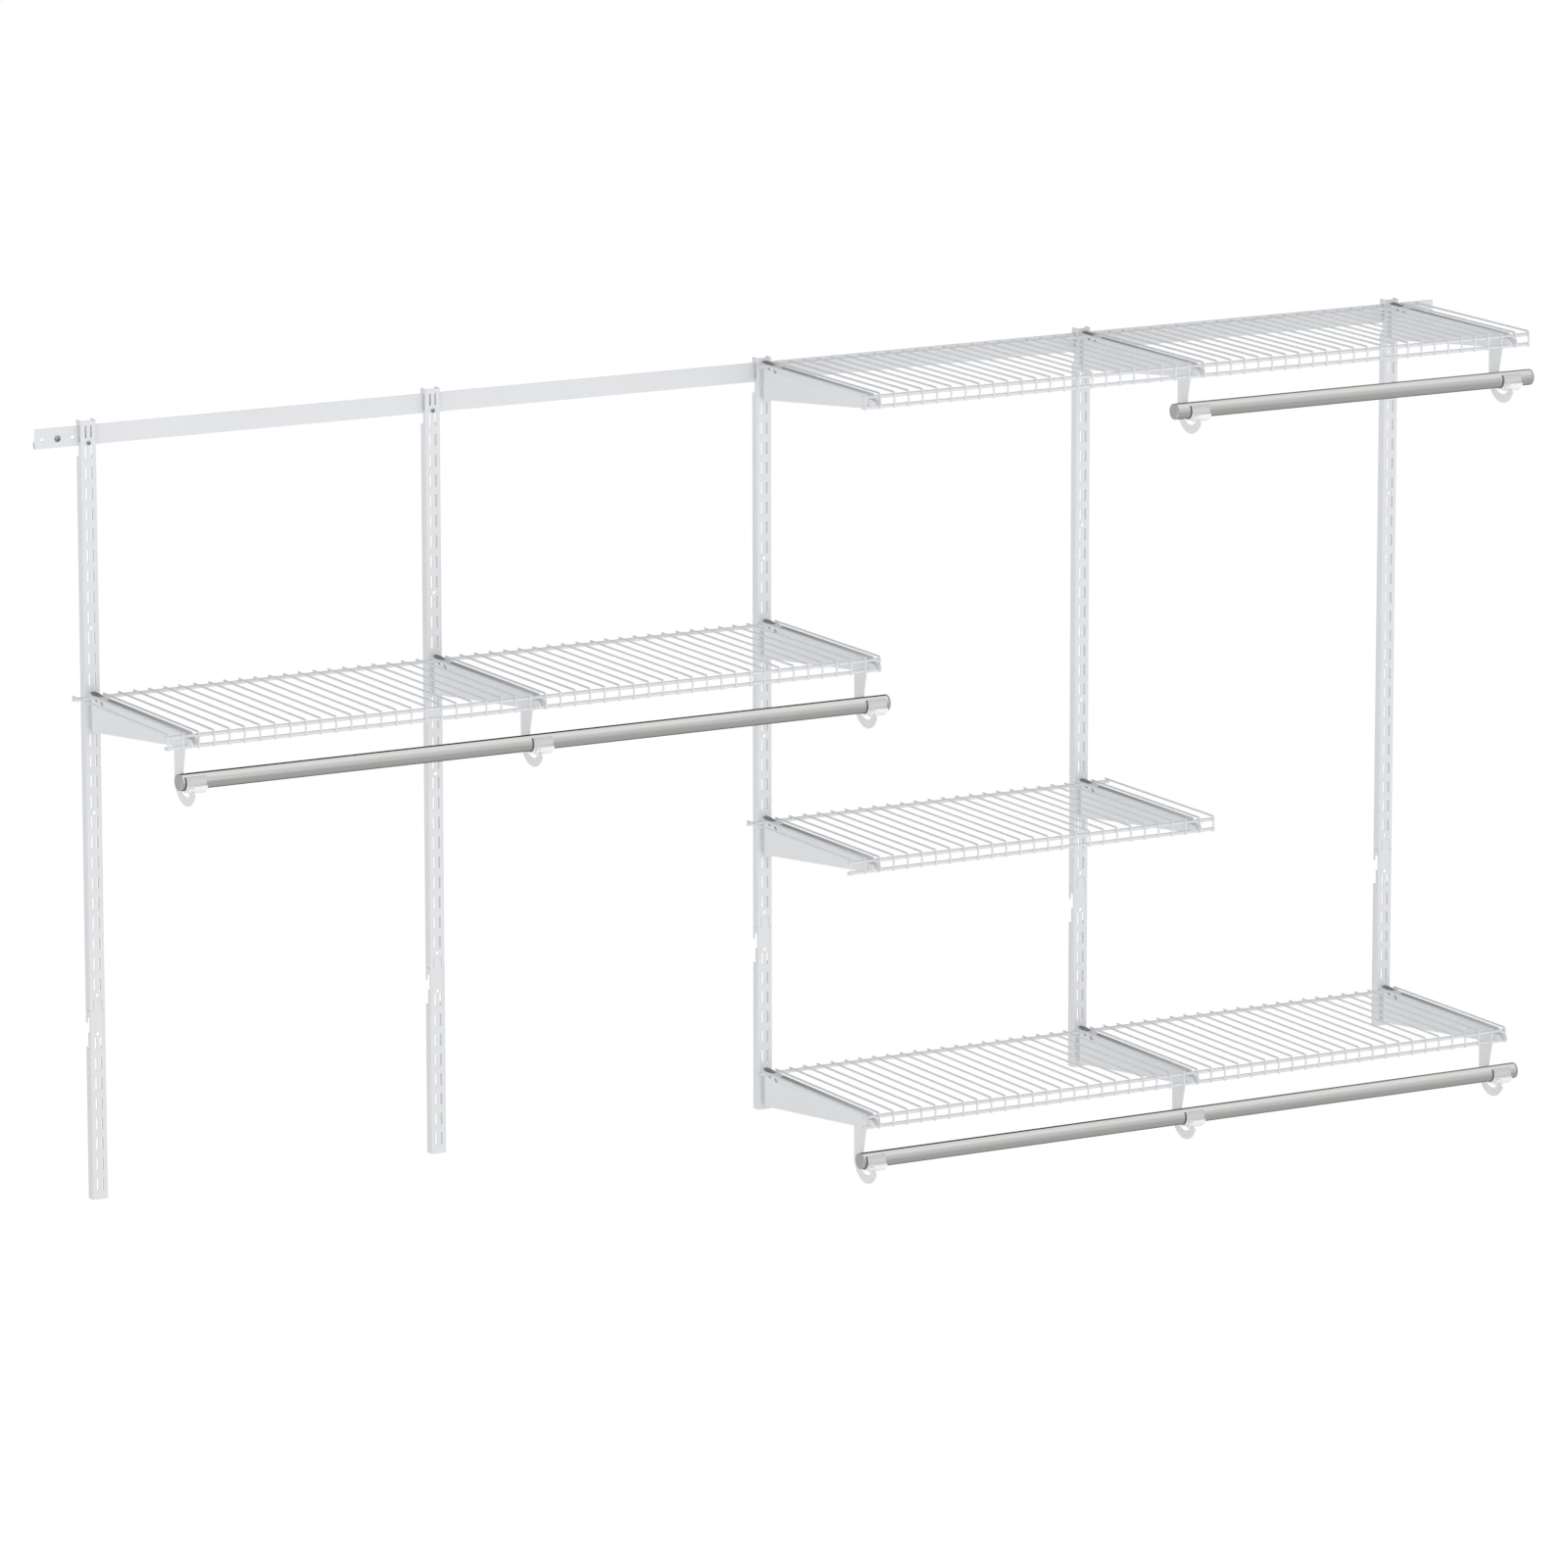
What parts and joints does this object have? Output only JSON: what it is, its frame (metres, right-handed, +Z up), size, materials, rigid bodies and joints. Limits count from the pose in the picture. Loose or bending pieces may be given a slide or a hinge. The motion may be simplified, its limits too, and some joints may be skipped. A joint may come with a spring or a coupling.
{
  "type": "wall mounted closet system",
  "caption": "Wall hung closet system: a hang rail carries slotted uprights, with wire shelves on slot brackets and hang rods lying in saddles.",
  "frame": {"origin": "on the wall, at the middle of the back leg of the hang rail, behind the middle upright", "axes": "+X right along the wall and the rail, +Y into the wall, +Z up"},
  "size_m": [2.5062, 0.3833, 1.2587],
  "materials": {
    "white_coat": "white powder coat, low gloss",
    "white_plastic": "moulded white, matt",
    "satin_nickel": "satin nickel plated",
    "grey_plastic": "moulded grey, matt",
    "zinc": "zinc plated"
  },
  "bodies": {
    "wall_frame": {"hang_rail": "white_coat", "upright_1": "white_coat", "extension_1": "white_coat", "upright_screw_1": "zinc", "upright_2": "white_coat", "extension_2": "white_coat", "upright_screw_2": "zinc", "upright_3": "white_coat", "extension_3": "white_coat", "upright_screw_3": "zinc", "upright_4": "white_coat", "extension_4": "white_coat", "upright_screw_4": "zinc", "upright_5": "white_coat", "extension_5": "white_coat", "upright_screw_5": "zinc", "wall_screw_left": "zinc", "wall_screw_right": "zinc"},
    "left_shelf_set": {"left_shelf": "white_coat", "left_bracket_1": "white_coat", "left_saddle_1": "white_plastic", "left_bracket_2": "white_coat", "left_saddle_2": "white_plastic", "left_bracket_3": "white_coat", "left_saddle_3": "white_plastic"},
    "top_shelf_set": {"top_shelf": "white_coat", "top_bracket_1": "white_coat", "top_bracket_2": "white_coat", "top_saddle_2": "white_plastic", "top_bracket_3": "white_coat", "top_saddle_3": "white_plastic"},
    "middle_shelf_set": {"middle_shelf": "white_coat", "middle_bracket_1": "white_coat", "middle_bracket_2": "white_coat"},
    "bottom_shelf_set": {"bottom_shelf": "white_coat", "bottom_bracket_1": "white_coat", "bottom_saddle_1": "white_plastic", "bottom_bracket_2": "white_coat", "bottom_saddle_2": "white_plastic", "bottom_bracket_3": "white_coat", "bottom_saddle_3": "white_plastic"},
    "left_rod_set": {"left_rod": "satin_nickel", "left_rod_cap_left": "grey_plastic", "left_rod_cap_right": "grey_plastic"},
    "top_rod_set": {"top_rod": "satin_nickel", "top_rod_cap_left": "grey_plastic", "top_rod_cap_right": "grey_plastic"},
    "bottom_rod_set": {"bottom_rod": "satin_nickel", "bottom_rod_cap_left": "grey_plastic", "bottom_rod_cap_right": "grey_plastic"}
  },
  "joints": [
    {"name": "left_shelf_lift", "type": "slide", "parent": "wall_frame", "child": "left_shelf_set", "axis": [0, 0, 1], "range_m": [0, 0.006]},
    {"name": "top_shelf_lift", "type": "slide", "parent": "wall_frame", "child": "top_shelf_set", "axis": [0, 0, 1], "range_m": [0, 0.006]},
    {"name": "middle_shelf_lift", "type": "slide", "parent": "wall_frame", "child": "middle_shelf_set", "axis": [0, 0, 1], "range_m": [0, 0.006]},
    {"name": "bottom_shelf_lift", "type": "slide", "parent": "wall_frame", "child": "bottom_shelf_set", "axis": [0, 0, 1], "range_m": [0, 0.006]},
    {"name": "left_rod_lift_out", "type": "slide", "parent": "left_shelf_set", "child": "left_rod_set", "axis": [0, -0.3907, 0.9205], "range_m": [0, 0.025]},
    {"name": "top_rod_lift_out", "type": "slide", "parent": "top_shelf_set", "child": "top_rod_set", "axis": [0, -0.3907, 0.9205], "range_m": [0, 0.025]},
    {"name": "bottom_rod_lift_out", "type": "slide", "parent": "bottom_shelf_set", "child": "bottom_rod_set", "axis": [0, -0.3907, 0.9205], "range_m": [0, 0.025]}
  ]
}
